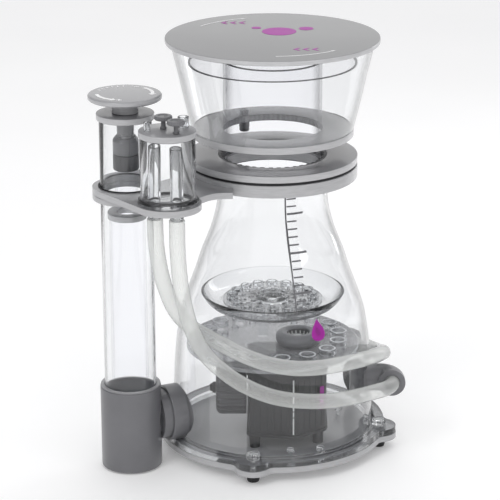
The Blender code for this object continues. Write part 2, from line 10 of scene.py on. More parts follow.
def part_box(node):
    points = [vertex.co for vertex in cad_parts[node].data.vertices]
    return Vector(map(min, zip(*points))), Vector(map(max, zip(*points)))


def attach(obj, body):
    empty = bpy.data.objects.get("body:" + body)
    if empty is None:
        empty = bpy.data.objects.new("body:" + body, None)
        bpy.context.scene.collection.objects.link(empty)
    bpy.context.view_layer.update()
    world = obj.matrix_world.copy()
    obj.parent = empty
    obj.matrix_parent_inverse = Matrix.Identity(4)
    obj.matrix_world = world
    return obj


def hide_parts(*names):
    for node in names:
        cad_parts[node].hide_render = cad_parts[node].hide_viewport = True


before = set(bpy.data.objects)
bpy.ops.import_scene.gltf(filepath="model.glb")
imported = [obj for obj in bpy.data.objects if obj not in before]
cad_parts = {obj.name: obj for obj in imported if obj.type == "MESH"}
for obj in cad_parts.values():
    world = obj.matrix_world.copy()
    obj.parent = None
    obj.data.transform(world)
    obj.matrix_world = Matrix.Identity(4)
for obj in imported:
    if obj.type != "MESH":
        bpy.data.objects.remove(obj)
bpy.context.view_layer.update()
MM = 0.001

# ---- places, from the frame
low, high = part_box("riser")
AXIS = Vector(((low.x + high.x) / 2.0, (low.y + high.y) / 2.0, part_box("base_plate")[0].z))
SEG = 128


def centre_of(node):
    """Plan position of a node's middle, in mm from the body axis."""
    a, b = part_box(node)
    return ((a.x + b.x) / 2.0 - AXIS.x) / MM, ((a.y + b.y) / 2.0 - AXIS.y) / MM


PIPE = centre_of("standpipe")
WHEEL_PRINT = 460.32
LID_PRINT = 510.22
SILENCER = centre_of("silencer_tube")
PORTS = (centre_of("air_port_1"), centre_of("air_port_2"))
VALVES = (centre_of("air_valve_1"), centre_of("air_valve_2"))
VENTS = (centre_of("silencer_vent_1"), centre_of("silencer_vent_2"))
OUTLET = centre_of("pump_volute")
DRAIN = centre_of("drain_nipple")
SCREWS = [centre_of(f"thumbscrew_{i}") for i in range(1, 5)]


def row(x, y, z):
    """A point in mm from the body axis and the base plate's underside, in row metres."""
    return AXIS + Vector((x, y, z)) * MM


def add_object(name, data):
    obj = bpy.data.objects.new(name, data)
    bpy.context.scene.collection.objects.link(obj)
    return obj


def add_mesh(name, bm):
    mesh = bpy.data.meshes.new(name)
    bm.to_mesh(mesh)
    bm.free()
    return add_object(name, mesh)


# ---- camera
def make_camera():
    data = bpy.data.cameras.new("camera")
    camera = add_object("camera", data)
    camera.location = row(0.6, -2710.5, 1134.8)
    camera.rotation_euler = (math.radians(90.0 - 18.383), 0.0, 0.0)
    data.sensor_width = 36.0
    data.lens = 165.6
    data.shift_x = -0.0462
    data.shift_y = 0.0079
    data.clip_end = 60.0
    bpy.context.scene.camera = camera


# ---- node helpers
def new_material(name):
    mat = bpy.data.materials.new(name)
    mat.use_nodes = True
    mat.node_tree.nodes.clear()
    out = mat.node_tree.nodes.new("ShaderNodeOutputMaterial")
    return mat, mat.node_tree, out


def node(tree, kind, **values):
    made = tree.nodes.new(kind)
    for key, value in values.items():
        if key.startswith("_"):
            setattr(made, key[1:], value)
        else:
            made.inputs[key.replace("__", " ")].default_value = value
    return made


def ramp(tree, source, stops):
    made = tree.nodes.new("ShaderNodeValToRGB")
    made.color_ramp.elements[0].position = stops[0][0]
    made.color_ramp.elements[0].color = (*stops[0][1], 1.0)
    made.color_ramp.elements[1].position = stops[-1][0]
    made.color_ramp.elements[1].color = (*stops[-1][1], 1.0)
    for position, colour in stops[1:-1]:
        element = made.color_ramp.elements.new(position)
        element.color = (*colour, 1.0)
    tree.links.new(source, made.inputs["Fac"])
    return made.outputs["Color"]


def noise(tree, scale, detail=3.0, stretch=(1.0, 1.0, 1.0)):
    coord = tree.nodes.new("ShaderNodeTexCoord")
    mapping = tree.nodes.new("ShaderNodeMapping")
    mapping.inputs["Scale"].default_value = stretch
    tree.links.new(coord.outputs["Object"], mapping.inputs["Vector"])
    made = node(tree, "ShaderNodeTexNoise", Scale=scale, Detail=detail)
    tree.links.new(mapping.outputs["Vector"], made.inputs["Vector"])
    return made.outputs["Fac"]


def span(tree, source, start, end, low_value, high_value, kind="LINEAR"):
    """Read a value between start and end as one between low_value and high_value."""
    made = tree.nodes.new("ShaderNodeMapRange")
    made.interpolation_type = kind
    for key, value in (("From Min", start), ("From Max", end), ("To Min", low_value),
                       ("To Max", high_value)):
        made.inputs[key].default_value = value
    tree.links.new(source, made.inputs["Value"])
    return made.outputs["Result"]


def remap(tree, source, low_value, high_value):
    return span(tree, source, 0.1, 0.9, low_value, high_value)


def bump(tree, source, shader, strength, distance=0.0004):
    made = node(tree, "ShaderNodeBump", Strength=strength, Distance=distance)
    tree.links.new(source, made.inputs["Height"])
    tree.links.new(made.outputs["Normal"], shader.inputs["Normal"])


def mixed(tree, weight, first, second):
    """Shader output between two shaders' outputs."""
    mix = tree.nodes.new("ShaderNodeMixShader")
    tree.links.new(weight, mix.inputs["Fac"])
    tree.links.new(first, mix.inputs[1])
    tree.links.new(second, mix.inputs[2])
    return mix.outputs["Shader"]


def scaled(colour, factor):
    return tuple(min(c * factor, 1.0) for c in colour)


def mottle(tree, source, colour, dark, light, start=0.3, end=0.7):
    """Colour that wanders between a darker and a lighter shade of one tone."""
    return ramp(tree, source, ((start, scaled(colour, dark)), (end, scaled(colour, light))))


def facing_weight(tree, blend, start, low_value, high_value, kind="LINEAR"):
    """Weight that grows from face on to edge on."""
    facing = node(tree, "ShaderNodeLayerWeight", Blend=blend)
    return span(tree, facing.outputs["Facing"], start, 1.0, low_value, high_value, kind)


def moulded(name, colour, roughness, grain=0.25, metallic=0.0, coat=0.0, spread=0.12):
    """Moulded or turned plastic: slight mottling, fine grain, uneven gloss."""
    mat, tree, out = new_material(name)
    shader = node(tree, "ShaderNodeBsdfPrincipled", Metallic=metallic, Coat__Weight=coat)
    broad = noise(tree, 28.0)
    tree.links.new(mottle(tree, broad, colour, 1.0 - spread, 1.0 + spread),
                   shader.inputs["Base Color"])
    tree.links.new(remap(tree, broad, roughness * 0.85, roughness * 1.15),
                   shader.inputs["Roughness"])
    bump(tree, noise(tree, 900.0, 2.0), shader, grain)
    tree.links.new(shader.outputs["BSDF"], out.inputs["Surface"])
    return mat


def sheet_acrylic(name, face, edge, roughness=0.22):
    """Cut acrylic sheet: flat faces darker, sawn edges painted brighter, a painted highlight for
    light glowing in their polished edges.
    """
    mat, tree, out = new_material(name)
    shader = node(tree, "ShaderNodeBsdfPrincipled", Coat__Weight=0.35, Coat__Roughness=0.08)
    geometry = tree.nodes.new("ShaderNodeNewGeometry")
    split = tree.nodes.new("ShaderNodeSeparateXYZ")
    tree.links.new(geometry.outputs["True Normal"], split.inputs["Vector"])
    up = node(tree, "ShaderNodeMath", _operation="ABSOLUTE")
    tree.links.new(split.outputs["Z"], up.inputs[0])
    cloud = noise(tree, 9.0, 2.0)
    saw = noise(tree, 60.0, 2.0, (1.0, 1.0, 14.0))
    # faces pointing sideways take the edge colour, a painted highlight; faces pointing up take the
    # darker face colour
    mix = node(tree, "ShaderNodeMix", _data_type="RGBA")
    tree.links.new(span(tree, up.outputs[0], 0.35, 0.8, 0.0, 1.0), mix.inputs["Factor"])
    tree.links.new(mottle(tree, saw, edge, 0.9, 1.06), mix.inputs[6])
    tree.links.new(mottle(tree, cloud, face, 0.93, 1.07, 0.1, 0.9), mix.inputs[7])
    tree.links.new(mix.outputs[2], shader.inputs["Base Color"])
    tree.links.new(remap(tree, cloud, roughness * 0.8, roughness * 1.25),
                   shader.inputs["Roughness"])
    bump(tree, noise(tree, 700.0, 2.0), shader, 0.06, 0.0002)
    tree.links.new(shader.outputs["BSDF"], out.inputs["Surface"])
    return mat


def glass(name, tint=(0.975, 0.98, 0.985), roughness=0.0, ior=1.45, ripple=0.0, edge_shade=0.6,
          edge_shade_colour=(0.20, 0.20, 0.21), start=0.5):
    """Clear acrylic with real refraction and painted grey shade along its edges, standing in for
    dark reflections, that still lets lamps through.
    """
    mat, tree, out = new_material(name)
    shader = node(tree, "ShaderNodeBsdfPrincipled", Roughness=roughness, IOR=ior,
                  Transmission__Weight=1.0)
    streaks = noise(tree, 14.0, 2.0, (1.0, 1.0, 0.25))
    tree.links.new(mottle(tree, streaks, tint, 0.985, 1.0), shader.inputs["Base Color"])
    if ripple:
        bump(tree, noise(tree, 45.0, 1.0), shader, ripple, 0.0005)
    # grey shader mixed in edge on: painted shade for the dark reflections along the edges
    side = node(tree, "ShaderNodeBsdfPrincipled", Roughness=0.2, Coat__Weight=0.4)
    side.inputs["Base Color"].default_value = (*edge_shade_colour, 1.0)
    body = mixed(tree, facing_weight(tree, 0.5, start, 0.0, edge_shade, "SMOOTHSTEP"),
                 shader.outputs["BSDF"], side.outputs["BSDF"])
    clear = node(tree, "ShaderNodeBsdfTransparent", Color=(0.93, 0.94, 0.945, 1.0))
    path = tree.nodes.new("ShaderNodeLightPath")
    tree.links.new(mixed(tree, path.outputs["Is Shadow Ray"], body, clear.outputs["BSDF"]),
                   out.inputs["Surface"])
    return mat


def thin_clear(name, face=0.05, edge=0.75, colour=(0.62, 0.63, 0.65), blend=0.35,
               roughness=0.06, tint=0.97, start=0.0):
    """Clear sheet seen without bending: open face on, glossy edge on and painted there with the
    given colour, standing in for the shade and reflections along the edges of clear plastic.
    """
    mat, tree, out = new_material(name)
    shader = node(tree, "ShaderNodeBsdfPrincipled", Roughness=roughness, Coat__Weight=0.5)
    streaks = noise(tree, 18.0, 2.0, (1.0, 1.0, 0.3))
    tree.links.new(mottle(tree, streaks, colour, 0.85, 1.15), shader.inputs["Base Color"])
    clear = node(tree, "ShaderNodeBsdfTransparent", Color=(tint, tint, tint * 1.005, 1.0))
    # mixing towards the coloured shader edge on paints the shade and reflections along the edges
    tree.links.new(mixed(tree, facing_weight(tree, blend, start, face, edge),
                         clear.outputs["BSDF"], shader.outputs["BSDF"]),
                   out.inputs["Surface"])
    return mat


M = {
    # the dark edge colours of the glass materials are painted shade for reflections along their
    # edges
    "wall": glass("acrylic_wall", edge_shade=0.85, start=0.56, edge_shade_colour=(0.15, 0.15, 0.16)),
    "inner_glass": glass("acrylic_inner", edge_shade=0.8, start=0.5, edge_shade_colour=(0.12, 0.12, 0.125)),
    "cast": glass("acrylic_cast", tint=(0.93, 0.94, 0.95), ripple=0.35, edge_shade=0.85, start=0.42,
                  edge_shade_colour=(0.10, 0.10, 0.105)),
    # the acrylic_thin, riser and plate greys are painted shade along clear edges
    "thin": thin_clear("acrylic_thin", 0.0, 0.55, (0.46, 0.46, 0.47), 0.22, tint=0.995,
                       start=0.3),
    "riser": thin_clear("acrylic_riser", 0.0, 0.9, (0.24, 0.24, 0.25), 0.25, tint=0.993,
                        start=0.25),
    "plate": thin_clear("acrylic_plate", 0.10, 0.75, (0.22, 0.22, 0.23), 0.55, tint=0.96),
    "milky": thin_clear("acrylic_frosted", face=0.25, edge=0.8, colour=(0.7, 0.71, 0.73),
                        roughness=0.25),
    # the second colour of each grey sheet is the painted highlight on its sawn edges
    "light": sheet_acrylic("grey_sheet_light", (0.30, 0.30, 0.31), (0.46, 0.46, 0.47)),
    "mid": sheet_acrylic("grey_sheet_mid", (0.24, 0.24, 0.25), (0.50, 0.50, 0.51)),
    "lid": sheet_acrylic("grey_sheet_lid", (0.245, 0.245, 0.25), (0.56, 0.56, 0.57), 0.38),
    "pvc": moulded("pvc_dark_grey", (0.155, 0.155, 0.165), 0.34, 0.12, coat=0.2, spread=0.05),
    "pvc_mid": moulded("pvc_mid_grey", (0.27, 0.27, 0.28), 0.34, 0.12, coat=0.2, spread=0.06),
    "pump": moulded("pump_black", (0.012, 0.012, 0.014), 0.38, 0.35),
    "motor": moulded("pump_grey", (0.06, 0.06, 0.065), 0.38, 0.3),
    "rubber": moulded("rubber_black", (0.018, 0.018, 0.02), 0.7, 0.5),
    "white": moulded("plastic_white", (0.78, 0.79, 0.78), 0.35, 0.15, spread=0.04),
    "print": moulded("print_white", (0.95, 0.95, 0.95), 0.5, 0.05, spread=0.02),
    "tick": moulded("print_grey", (0.16, 0.16, 0.17), 0.5, 0.05, spread=0.05),
    "purple": moulded("print_purple", (0.36, 0.012, 0.32), 0.4, 0.05, spread=0.06),
}


def place(obj, body, replaced=(), key="white"):
    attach(obj, body)
    if replaced:
        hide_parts(*replaced)
    return obj


def shade(bm, limit):
    """Shade smooth, with edges sharper than the limit left sharp."""
    for face in bm.faces:
        face.smooth = True
    for edge in bm.edges:
        if len(edge.link_faces) == 2:
            edge.smooth = edge.calc_face_angle(0.0) < math.radians(limit)


def make(name, bm, mats, body, replaced=(), smooth=35.0, bevel=0.0):
    """Finish a bmesh in row metres as a piece on a body."""
    bmesh.ops.recalc_face_normals(bm, faces=bm.faces)
    shade(bm, smooth)
    obj = add_mesh(name, bm)
    obj.data.materials.append(M[mats])
    if bevel:
        modifier = obj.modifiers.new("bevel", "BEVEL")
        modifier.width = bevel * MM
        modifier.segments = 3
        modifier.limit_method = "ANGLE"
        modifier.angle_limit = math.radians(50.0)
        modifier.harden_normals = True
    return place(obj, body, replaced, mats)


def rounded(loop, radius, steps=3):
    """Round the corners of a closed 2-D loop."""
    made = []
    count = len(loop)
    for i in range(count):
        before = Vector(loop[i - 1])
        here = Vector(loop[i])
        after = Vector(loop[(i + 1) % count])
        u = before - here
        v = after - here
        if here.x < 1e-6 or u.length < 1e-6 or v.length < 1e-6:
            made.append(tuple(here))
            continue
        if u.angle(v) > math.radians(165.0):
            made.append(tuple(here))
            continue
        cut = min(radius, u.length * 0.45, v.length * 0.45)
        a = here + u.normalized() * cut
        b = here + v.normalized() * cut
        for k in range(steps + 1):
            t = k / steps
            made.append(tuple(a.lerp(here, t).lerp(here.lerp(b, t), t)))
    return made


def upright(x=0.0, y=0.0):
    """Placing matrix (mm) of a solid turned about a vertical through a plan point."""
    return Matrix.Translation((x, y, 0.0))


def along(origin, direction):
    """Placing matrix (mm) whose height axis runs along a direction from an origin."""
    turn = Vector((0.0, 0.0, 1.0)).rotation_difference(Vector(direction).normalized())
    return Matrix.Translation(Vector(origin)) @ turn.to_matrix().to_4x4()


def add_lathe(bm, profile, at=None, segments=SEG, radius_of=None):
    """Add a turned solid: profile is a closed loop of (radius, height) in mm."""
    matrix = at if isinstance(at, Matrix) else upright(*(at or (0.0, 0.0)))
    rings = []
    for radius, height in profile:
        if radius < 1e-5:
            rings.append([bm.verts.new(row(*(matrix @ Vector((0.0, 0.0, height)))))])
            continue
        ring = []
        for i in range(segments):
            angle = 2.0 * math.pi * i / segments
            r = radius if radius_of is None else radius_of(radius, height, angle)
            spot = Vector((r * math.cos(angle), r * math.sin(angle), height))
            ring.append(bm.verts.new(row(*(matrix @ spot))))
        rings.append(ring)
    faces = []
    for first, second in zip(rings, rings[1:] + rings[:1]):
        if len(first) == 1 and len(second) == 1:
            continue
        for i in range(segments):
            j = (i + 1) % segments
            corners = [first[i % len(first)], first[j % len(first)],
                       second[j % len(second)], second[i % len(second)]]
            faces.append(bm.faces.new(list(dict.fromkeys(corners))))
    return faces


def lathe(name, profile, mat, body, replaced=(), at=None, segments=SEG, edge=0.6,
          radius_of=None):
    bm = bmesh.new()
    loop = rounded(profile, edge) if edge else profile
    add_lathe(bm, loop, at, segments, radius_of)
    return make(name, bm, mat, body, replaced)


def lathe_all(name, profile, mat, spots, segments, edge, body="skimmer"):
    """One piece of equal turned details at several places in plan."""
    bm = bmesh.new()
    for spot in spots:
        add_lathe(bm, rounded(profile, edge), spot, segments)
    return make(name, bm, mat, body)


def circle(cx, cy, radius, count=64):
    return [(cx + radius * math.cos(2.0 * math.pi * i / count),
             cy + radius * math.sin(2.0 * math.pi * i / count)) for i in range(count)]


def add_prism(bm, outline, z0, z1, holes=()):
    loops = [list(outline)] + [list(hole) for hole in holes]
    triangles = tessellate_polygon([[Vector((x, y, 0.0)) for x, y in loop] for loop in loops])
    points = [point for loop in loops for point in loop]
    lower = [bm.verts.new(row(x, y, z0)) for x, y in points]
    upper = [bm.verts.new(row(x, y, z1)) for x, y in points]
    for a, b, c in triangles:
        bm.faces.new((lower[a], lower[b], lower[c]))
        bm.faces.new((upper[c], upper[b], upper[a]))
    start = 0
    for loop in loops:
        count = len(loop)
        for i in range(count):
            j = start + (i + 1) % count
            i = start + i
            bm.faces.new((lower[i], lower[j], upper[j], upper[i]))
        start += count


def plate(name, outline, z0, z1, mat, body, replaced=(), holes=(), bevel=0.7):
    bm = bmesh.new()
    add_prism(bm, outline, z0, z1, holes)
    return make(name, bm, mat, body, replaced, bevel=bevel)


def polar(radius, degrees):
    return radius * math.cos(math.radians(degrees)), radius * math.sin(math.radians(degrees))


def ring(r_in, r_out, z0, z1):
    return [(r_in, z0), (r_out, z0), (r_out, z1), (r_in, z1)]


def disc(radius, z0, z1):
    return [(0.0, z0), (radius, z0), (radius, z1), (0.0, z1)]


def knurl(count, depth):
    """Grip ribs on a turned edge."""
    def radius_of(radius, height, angle):
        return radius - depth * (0.5 + 0.5 * math.cos(count * angle)) if radius > 6.0 else radius
    return radius_of


# ---- hoses
HOSE_R = 9.5
UPPER_HOSE = ((-137.4, -148.0, 326.7), (-136.6, -147.4, 296.0), (-133.0, -142.0, 264.0),
              (-126.5, -133.0, 233.0), (-116.7, -121.5, 204.0), (-102.5, -111.0, 181.5),
              (-85.0, -108.0, 168.5), (-65.8, -114.5, 160.0), (-40.0, -127.5, 150.5),
              (-10.0, -136.0, 141.5), (21.0, -136.6, 135.3), (51.0, -128.2, 132.1),
              (81.6, -111.3, 130.2), (106.0, -88.5, 126.8), (125.5, -60.5, 121.8),
              (136.3, -33.0, 115.5), (138.6, -8.0, 107.0), (136.8, 18.0, 98.0),
              (130.5, 45.0, 90.5), (120.5, 71.0, 85.5))
LOWER_HOSE = ((-111.4, -155.6, 326.7), (-111.2, -155.5, 290.6), (-108.8, -154.0, 253.0),
              (-104.1, -150.0, 220.3), (-98.1, -144.0, 193.0), (-89.1, -136.5, 167.1),
              (-76.3, -130.5, 145.0), (-58.0, -131.0, 127.5), (-39.0, -133.5, 114.5),
              (-16.0, -137.0, 104.0), (8.9, -137.9, 96.5), (39.1, -133.3, 91.0),
              (69.6, -121.6, 87.0), (98.0, -101.5, 83.5), (122.0, -82.0, 81.8),
              (139.5, -69.0, 81.8))
ELBOW_R = 17.0
ELBOW_X, ELBOW_Y, ELBOW_Z = 148.0, -30.0, 82.0
REAR_ANGLE, REAR_X, REAR_Z = 46.0, 142.0, 84.0
REAR_TURN = Matrix.Rotation(math.radians(REAR_ANGLE), 3, "Z")


def smooth_route(points, count):
    route = [Vector(p) for p in points]
    route = [route[0] * 2.0 - route[1]] + route + [route[-1] * 2.0 - route[-2]]
    dense = []
    for i in range(1, len(route) - 2):
        p0, p1, p2, p3 = route[i - 1:i + 3]
        for step in range(24):
            t = step / 24.0
            dense.append(0.5 * (2.0 * p1 + (p2 - p0) * t + (2.0 * p0 - 5.0 * p1 + 4.0 * p2 - p3)
                                * t * t + (3.0 * p1 - p0 - 3.0 * p2 + p3) * t ** 3))
    dense.append(route[-2])
    lengths = [0.0]
    for first, second in zip(dense, dense[1:]):
        lengths.append(lengths[-1] + (second - first).length)
    even = []
    index = 0
    for k in range(count):
        goal = lengths[-1] * k / (count - 1)
        while index < len(dense) - 2 and lengths[index + 1] < goal:
            index += 1
        span = max(lengths[index + 1] - lengths[index], 1e-9)
        even.append(dense[index].lerp(dense[index + 1], (goal - lengths[index]) / span))
    return even, lengths[-1]


def hose_material():
    """Milky silicone: clearer face on, denser towards its sides, with its colour painted darker
    grey towards the sides as painted shade.
    """
    mat, tree, out = new_material("hose_silicone")
    shader = node(tree, "ShaderNodeBsdfPrincipled", Coat__Weight=0.4, Coat__Roughness=0.1)
    cloud = noise(tree, 30.0, 3.0)
    tree.links.new(remap(tree, cloud, 0.16, 0.32), shader.inputs["Roughness"])
    bump(tree, noise(tree, 120.0, 2.0), shader, 0.08)
    facing = node(tree, "ShaderNodeLayerWeight", Blend=0.3)
    # colour goes from milky white face on to grey edge on: painted shade along the hose sides
    tree.links.new(ramp(tree, facing.outputs["Facing"],
                        ((0.0, (0.86, 0.87, 0.86)), (0.45, (0.74, 0.75, 0.74)),
                         (0.85, (0.36, 0.37, 0.37)))), shader.inputs["Base Color"])
    clear = node(tree, "ShaderNodeBsdfTransparent", Color=(0.96, 0.965, 0.955, 1.0))
    tree.links.new(mixed(tree, span(tree, facing.outputs["Facing"], 0.0, 1.0, 0.24, 0.95),
                         clear.outputs["BSDF"], shader.outputs["BSDF"]),
                   out.inputs["Surface"])
    return mat


def make_hose(name, route, cad_node):
    points, length = smooth_route(route, 120)
    curve = bpy.data.curves.new(name, "CURVE")
    curve.dimensions = "3D"
    curve.bevel_depth = HOSE_R * MM
    curve.bevel_resolution = 6
    curve.use_fill_caps = True
    spline = curve.splines.new("POLY")
    spline.points.add(len(points) - 1)
    for target, point in zip(spline.points, points):
        target.co = (*row(*point), 1.0)
    spline.use_smooth = True
    curve.materials.append(M["hose"])
    obj = add_object(name, curve)
    place(obj, "skimmer", (cad_node,), "hose")
    tuple(row(*points[0]))
    return obj


def make_hoses():
    M["hose"] = hose_material()
    rear_end = tuple(tuple(REAR_TURN @ Vector((REAR_X, y, REAR_Z))) for y in (-26.0, -15.5))
    make_hose("air_hose_rear", UPPER_HOSE + rear_end, "upper_air_hose")
    front_end = ((ELBOW_X, ELBOW_Y - 25.0, ELBOW_Z), (ELBOW_X, ELBOW_Y - 15.5, ELBOW_Z))
    make_hose("air_hose_front", LOWER_HOSE + front_end, "lower_air_hose")


# ---- base
LOBES = (-10.0, 80.0, 170.0, 260.0)


def lobed_outline(inset=0.0):
    """Round plate with four lobes, each blended into the round by a fillet."""
    plate_r = 141.7 - inset
    lobe = 22.0 - inset
    fillet = 10.0 + inset
    reach = plate_r + fillet
    span = lobe + fillet
    offset = math.acos((136.0 ** 2 + reach ** 2 - span ** 2) / (2.0 * 136.0 * reach))
    points = []
    for index, angle in enumerate(LOBES):
        middle = math.radians(angle)
        lobe_x = 136.0 * math.cos(middle)
        lobe_y = 136.0 * math.sin(middle)
        for side in (-1.0, 1.0):
            fx = reach * math.cos(middle + side * offset)
            fy = reach * math.sin(middle + side * offset)
            to_axis = math.atan2(-fy, -fx)
            to_lobe = math.atan2(lobe_y - fy, lobe_x - fx)
            turn = (to_lobe - to_axis + math.pi) % (2.0 * math.pi) - math.pi
            arc = [(fx + fillet * math.cos(to_axis + turn * k / 8.0),
                    fy + fillet * math.sin(to_axis + turn * k / 8.0)) for k in range(9)]
            if side < 0.0:
                points += arc
                start = math.atan2(fy - lobe_y, fx - lobe_x)
                half = (middle - start + math.pi) % (2.0 * math.pi) - math.pi
                points += [(lobe_x + lobe * math.cos(middle - half + half * k / 12.0),
                            lobe_y + lobe * math.sin(middle - half + half * k / 12.0))
                           for k in range(1, 24)]
            else:
                points += arc[::-1]
        following = math.radians(LOBES[(index + 1) % 4])
        sweep = (following - middle) % (2.0 * math.pi) - 2.0 * offset
        points += [(plate_r * math.cos(middle + offset + sweep * k / 30.0),
                    plate_r * math.sin(middle + offset + sweep * k / 30.0))
                   for k in range(1, 30)]
    return points


def build_base():
    plate("base_sheet", lobed_outline(0.3), 0.0, 7.2, "light", "skimmer", ("base_plate",),
          bevel=0.9)
    holes = [circle(0.0, 0.0, 125.3, SEG)] + [circle(x, y, 3.3, 20) for x, y in SCREWS]
    plate("base_flange_clear", lobed_outline(0.8), 7.5, 15.5, "cast", "skimmer",
          ("base_flange",), holes, 0.8)
    lathe("base_gasket", ring(127.6, 130.2, 7.21, 7.48), "rubber", "skimmer", edge=0.0)
    foot = [(0.0, -13.0), (6.8, -13.0), (7.6, -11.0), (8.4, -5.0), (9.2, -3.5), (9.2, -0.05),
            (0.0, -0.05)]
    head = [(0.0, 8.0), (3.0, 8.0), (3.0, 15.8), (8.2, 15.8), (8.2, 17.4), (7.2, 18.2),
            (8.8, 19.0), (8.8, 22.6), (7.4, 24.0), (5.2, 24.5), (4.6, 23.6), (0.0, 23.6)]
    for number, spot in enumerate(SCREWS, 1):
        lathe(f"rubber_foot_{number}", foot, "rubber", "skimmer", (f"foot_{number}",), spot,
              48, 0.7)
        lathe(f"clear_thumbscrew_{number}", head, "cast", f"screw_{number}",
              (f"thumbscrew_{number}",), spot, 72, 0.35, knurl(18, 0.7))
        lathe(f"screw_washer_{number}", ring(3.4, 7.4, 15.5, 15.78), "white", "skimmer",
              at=spot, segments=40, edge=0.0)


# ---- body
BODY_PROFILE = ((7.5, 125.0), (55.0, 125.0), (105.0, 122.5), (135.0, 119.5), (162.0, 115.0),
                (180.0, 109.8), (197.0, 103.5), (218.0, 95.8), (240.0, 88.5), (265.0, 78.6),
                (279.0, 74.0), (300.0, 69.0), (318.0, 67.4), (337.3, 67.0))
CUP_PROFILE = ((398.3, 99.0), (408.0, 101.5), (435.0, 108.0), (465.0, 114.5), (490.0, 120.5),
               (504.2, 123.5))


def fine(profile, steps):
    """Smooth curve through (height, radius) stations, no wider than the body tube."""
    heights = [p[0] for p in profile]
    radii = [p[1] for p in profile]
    slopes = []
    for i in range(len(profile)):
        a = max(i - 1, 0)
        b = min(i + 1, len(profile) - 1)
        slopes.append((radii[b] - radii[a]) / (heights[b] - heights[a]))
    slopes[0] = 0.0 if profile is BODY_PROFILE else slopes[0]
    made = []
    for i in range(len(profile) - 1):
        span = heights[i + 1] - heights[i]
        for k in range(steps):
            t = k / steps
            made.append((heights[i] + span * t,
                         (2 * t ** 3 - 3 * t ** 2 + 1) * radii[i]
                         + (t ** 3 - 2 * t ** 2 + t) * span * slopes[i]
                         + (3 * t ** 2 - 2 * t ** 3) * radii[i + 1]
                         + (t ** 3 - t ** 2) * span * slopes[i + 1]))
    made.append((heights[-1], radii[-1]))
    return [(height, min(radius, 125.0)) for height, radius in made]


BODY_FINE = fine(BODY_PROFILE, 5)
CUP_FINE = fine(CUP_PROFILE, 5)


def body_radius(height):
    for (h0, r0), (h1, r1) in zip(BODY_FINE, BODY_FINE[1:]):
        if h0 <= height <= h1:
            return r0 + (r1 - r0) * (height - h0) / (h1 - h0)
    return BODY_FINE[-1][1]


def shell_loop(profile, wall):
    return [(r, h) for h, r in profile] + [(r - wall, h) for h, r in reversed(profile)]


def tool(start, end, radius, segments=64):
    """Plain cylinder for a boolean, in row metres."""
    bm = bmesh.new()
    length = (Vector(end) - Vector(start)).length
    add_lathe(bm, disc(radius, 0.0, length), along(start, Vector(end) - Vector(start)),
              segments)
    bmesh.ops.recalc_face_normals(bm, faces=bm.faces)
    return add_mesh("tool", bm)


def carve(obj, cutter, operation="DIFFERENCE", limit=35.0):
    """One exact boolean, applied, with the tool thrown away."""
    bpy.context.view_layer.update()
    modifier = obj.modifiers.new("carve", "BOOLEAN")
    modifier.operation = operation
    modifier.solver = "EXACT"
    modifier.object = cutter
    graph = bpy.context.evaluated_depsgraph_get()
    mesh = bpy.data.meshes.new_from_object(obj.evaluated_get(graph))
    obj.modifiers.remove(modifier)
    obj.data = mesh
    bpy.data.objects.remove(cutter, do_unlink=True)
    bm = bmesh.new()
    bm.from_mesh(mesh)
    bmesh.ops.remove_doubles(bm, verts=bm.verts, dist=1e-7)
    shade(bm, limit)
    bm.to_mesh(mesh)
    bm.free()


def build_body():
    shell = lathe("body_wall", shell_loop(BODY_FINE, 3.0), "wall", "skimmer", ("body_shell",),
                  edge=0.0)
    branch = -Vector(PIPE).normalized()
    carve(shell, tool((90.0, ELBOW_Y, ELBOW_Z), (150.0, ELBOW_Y, ELBOW_Z), ELBOW_R + 0.3))
    carve(shell, tool((*polar(90.0, REAR_ANGLE), REAR_Z),
                      (*polar(150.0, REAR_ANGLE), REAR_Z), ELBOW_R + 0.3))
    carve(shell, tool((*(-branch * 80.0), 47.0), (*PIPE, 47.0), 25.0))
    lathe("neck_flange", ring(64.2, 104.0, 337.6, 352.6), "light", "skimmer",
          ("lower_flange",), edge=0.9)
    lathe("neck_seal", ring(97.5, 102.4, 352.75, 355.65), "rubber", "skimmer",
          ("flange_seal",), edge=0.9)
    build_scale()


def curved_mark(bm, outline, meridian, lift=0.05, thick=0.22):
    """A printed mark on the body: outline is a loop of (arc mm from the mark's meridian,
    height), wrapped on the body's outside."""
    rows = []
    for extra in (lift, lift + thick):
        verts = []
        for arc, height in outline:
            radius = body_radius(height) + extra
            angle = math.radians(meridian) + arc / body_radius(height)
            verts.append(bm.verts.new(row(radius * math.cos(angle), radius * math.sin(angle),
                                          height)))
        rows.append(verts)
    inner, outer = rows
    bm.faces.new(outer)
    bm.faces.new(inner[::-1])
    for i in range(len(outline)):
        j = (i + 1) % len(outline)
        bm.faces.new((inner[i], inner[j], outer[j], outer[i]))


def build_scale():
    """Generic level marks up the body, and a drop that marks the working level."""
    bm = bmesh.new()
    for k in range(15):
        height = 196.0 + 9.2 * k
        reach = 21.0 if k % 5 == 2 else 12.0
        half = 1.25 if k % 5 == 2 else 0.9
        steps = 6
        loop = [(-9.0 + reach * i / steps, height - half) for i in range(steps + 1)]
        loop += [(-9.0 + reach * i / steps, height + half) for i in range(steps, -1, -1)]
        curved_mark(bm, loop, -68.0)
    rail = [(-11.4, 192.0 + 9.2 * k) for k in range(16)]
    rail += [(-9.6, 330.0 - 9.2 * k) for k in range(16)]
    curved_mark(bm, rail[::-1], -68.0)
    make("level_scale", bm, "tick", "skimmer", smooth=20.0)
    bm = bmesh.new()
    drop = []
    for k in range(36):
        t = 2.0 * math.pi * k / 36.0
        drop.append((12.5 * math.sin(t) * math.sin(t / 2.0) ** 1.3, 170.0 + 13.0 * math.cos(t)))
    curved_mark(bm, drop, -61.0)
    make("level_drop", bm, "purple", "skimmer", smooth=20.0)


